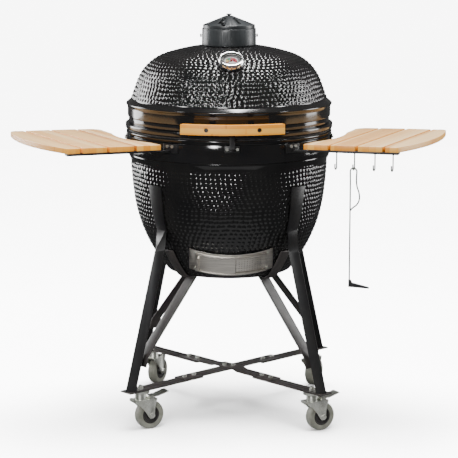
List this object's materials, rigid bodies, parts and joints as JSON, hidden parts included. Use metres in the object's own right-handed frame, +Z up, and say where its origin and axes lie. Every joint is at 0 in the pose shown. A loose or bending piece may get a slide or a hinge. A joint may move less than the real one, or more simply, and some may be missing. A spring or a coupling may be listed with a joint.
{
  "type": "kamado grill",
  "caption": "Ceramic kamado grill: domed lid hinged on a round pot, folding side tables, vents and a wheeled cart with braking castors.",
  "frame": {"origin": "on the floor, under the axis of the pot", "axes": "+Z up, -Y the front with the handle, ash door and thermometer, +X to the right as seen from the front"},
  "size_m": [1.3168, 0.75, 1.2145],
  "materials": {
    "black_glaze": "gloss glaze over raised beads",
    "black_painted_steel": "satin black powder coat",
    "black_felt": "pressed felt",
    "black_cast_iron": "satin black enamel",
    "zinc_steel": "bright zinc plate",
    "spring_steel": "oiled spring steel",
    "chrome_bezel": "polished",
    "dial_print": "printed scale",
    "red_needle": "satin",
    "clear_lens": "polished",
    "bamboo": "oiled bamboo strips",
    "brushed_stainless": "brushed",
    "fire_clay": "matt fireclay",
    "grate_iron": "rough",
    "grey_rubber": "matt",
    "black_plastic": "moulded",
    "tool_steel": "black, bare steel blade"
  },
  "bodies": {
    "root": {"base_pot": "black_glaze", "base_band": "black_painted_steel", "base_gasket": "black_felt", "latch_catch": "black_painted_steel", "hinge_base_bracket": "black_painted_steel", "hinge_pin": "zinc_steel", "hinge_springs": "spring_steel", "ash_door_frame": "brushed_stainless", "fire_box": "fire_clay", "fire_ring": "fire_clay", "charcoal_grate": "grate_iron", "cooking_grate": "brushed_stainless", "leg_braces": "black_painted_steel", "cross_bars": "black_painted_steel", "frame_bolts": "black_painted_steel", "castor_stems": "zinc_steel", "table_brackets": "black_painted_steel", "leg_front_left": "black_painted_steel", "leg_front_right": "black_painted_steel", "leg_back_left": "black_painted_steel", "leg_back_right": "black_painted_steel"},
    "lid": {"dome_lid": "black_glaze", "lid_band": "black_painted_steel", "lid_gasket": "black_felt", "vent_collar": "black_cast_iron", "vent_grate": "black_cast_iron", "vent_pivot": "zinc_steel", "lid_screws": "zinc_steel", "thermometer_bezel": "chrome_bezel", "thermometer_case": "chrome_bezel", "thermometer_dial": "dial_print", "thermometer_lens": "clear_lens", "handle_grip": "bamboo", "handle_brackets": "black_painted_steel", "hinge_lid_bracket": "black_painted_steel"},
    "vent_top": {"vent_cap": "black_cast_iron"},
    "latch": {"latch_strap": "black_painted_steel"},
    "needle": {"thermometer_needle": "red_needle"},
    "ash_panel": {"ash_door_panel": "brushed_stainless"},
    "ash_screen": {"ash_door_screen": "brushed_stainless"},
    "left_table": {"table_slats_left": "bamboo", "table_arms_left": "black_painted_steel"},
    "right_table": {"table_slats_right": "bamboo", "table_arms_right": "black_painted_steel", "hooks": "black_painted_steel"},
    "hanging_tool": {"ash_tool": "tool_steel"},
    "castor_front_left": {"castor_fork_front_left": "zinc_steel"},
    "wheel_front_left": {"castor_tyre_front_left": "grey_rubber", "castor_hub_front_left": "black_plastic"},
    "brake_front_left": {"brake_pedal_front_left": "zinc_steel"},
    "castor_front_right": {"castor_fork_front_right": "zinc_steel"},
    "wheel_front_right": {"castor_tyre_front_right": "grey_rubber", "castor_hub_front_right": "black_plastic"},
    "brake_front_right": {"brake_pedal_front_right": "zinc_steel"},
    "castor_back_left": {"castor_fork_back_left": "zinc_steel"},
    "wheel_back_left": {"castor_tyre_back_left": "grey_rubber", "castor_hub_back_left": "black_plastic"},
    "castor_back_right": {"castor_fork_back_right": "zinc_steel"},
    "wheel_back_right": {"castor_tyre_back_right": "grey_rubber", "castor_hub_back_right": "black_plastic"}
  },
  "joints": [
    {"name": "lid_hinge", "type": "hinge", "parent": "root", "child": "lid", "pos_m": [0, 0.345, 0.876], "axis": [-1, 0, 0], "range_deg": [0, 75]},
    {"name": "vent_turn", "type": "hinge", "parent": "lid", "child": "vent_top", "pos_m": [0, 0, 1.18], "axis": [0, 0, 1], "range_deg": [-30, 30]},
    {"name": "latch_swing", "type": "hinge", "parent": "lid", "child": "latch", "pos_m": [0, -0.3175, 0.899], "axis": [-1, 0, 0], "range_deg": [0, 40]},
    {"name": "needle_turn", "type": "hinge", "parent": "lid", "child": "needle", "pos_m": [0, -0.22215, 1.09265], "axis": [0, -0.5, 0.866], "range_deg": [-256, 0], "stiffness_Nm_per_rad": 0.002},
    {"name": "ash_panel_slide", "type": "hinge", "parent": "root", "child": "ash_panel", "pos_m": [0, 0, 0.6391], "axis": [0, -0.5592, 0.829], "range_deg": [0, 17.5]},
    {"name": "ash_screen_slide", "type": "hinge", "parent": "root", "child": "ash_screen", "pos_m": [0, 0, 0.6391], "axis": [0, -0.5592, 0.829], "range_deg": [-22.8, 0]},
    {"name": "left_table_fold", "type": "hinge", "parent": "root", "child": "left_table", "pos_m": [-0.30186, -0.14528, 0.838], "axis": [0.4337, -0.9011, 0], "range_deg": [0, 90]},
    {"name": "right_table_fold", "type": "hinge", "parent": "root", "child": "right_table", "pos_m": [0.30186, -0.14528, 0.838], "axis": [0.4337, 0.9011, 0], "range_deg": [0, 90]},
    {"name": "ash_tool_swing", "type": "hinge", "parent": "right_table", "child": "hanging_tool", "pos_m": [0.34503, -0.34571, 0.792], "axis": [0.4337, 0.9011, 0], "range_deg": [-90, 0]},
    {"name": "front_left_swivel", "type": "hinge", "parent": "root", "child": "castor_front_left", "pos_m": [-0.26945, -0.23755, 0.1], "axis": [0, 0, 1], "continuous": true},
    {"name": "front_left_wheel_spin", "type": "hinge", "parent": "castor_front_left", "child": "wheel_front_left", "pos_m": [-0.24479, -0.22428, 0.043], "axis": [0.4741, -0.8805, 0], "continuous": true},
    {"name": "front_left_brake", "type": "hinge", "parent": "castor_front_left", "child": "brake_front_left", "pos_m": [-0.24656, -0.22522, 0.098], "axis": [0.4741, -0.8805, 0], "range_deg": [-12, 0]},
    {"name": "front_right_swivel", "type": "hinge", "parent": "root", "child": "castor_front_right", "pos_m": [0.23755, -0.26945, 0.1], "axis": [0, 0, 1], "continuous": true},
    {"name": "front_right_wheel_spin", "type": "hinge", "parent": "castor_front_right", "child": "wheel_front_right", "pos_m": [0.2622, -0.25617, 0.043], "axis": [0.4741, -0.8805, 0], "continuous": true},
    {"name": "front_right_brake", "type": "hinge", "parent": "castor_front_right", "child": "brake_front_right", "pos_m": [0.26044, -0.25712, 0.098], "axis": [0.4741, -0.8805, 0], "range_deg": [-12, 0]},
    {"name": "back_left_swivel", "type": "hinge", "parent": "root", "child": "castor_back_left", "pos_m": [-0.23755, 0.26945, 0.1], "axis": [0, 0, 1], "continuous": true},
    {"name": "back_left_wheel_spin", "type": "hinge", "parent": "castor_back_left", "child": "wheel_back_left", "pos_m": [-0.22368, 0.29377, 0.043], "axis": [0.8686, -0.4955, 0], "continuous": true},
    {"name": "back_right_swivel", "type": "hinge", "parent": "root", "child": "castor_back_right", "pos_m": [0.26945, 0.23755, 0.1], "axis": [0, 0, 1], "continuous": true},
    {"name": "back_right_wheel_spin", "type": "hinge", "parent": "castor_back_right", "child": "wheel_back_right", "pos_m": [0.28332, 0.26187, 0.043], "axis": [0.8686, -0.4955, 0], "continuous": true}
  ],
  "couplings": [
    {"joint": "ash_tool_swing", "follows": "right_table_fold", "ratio": -1}
  ]
}
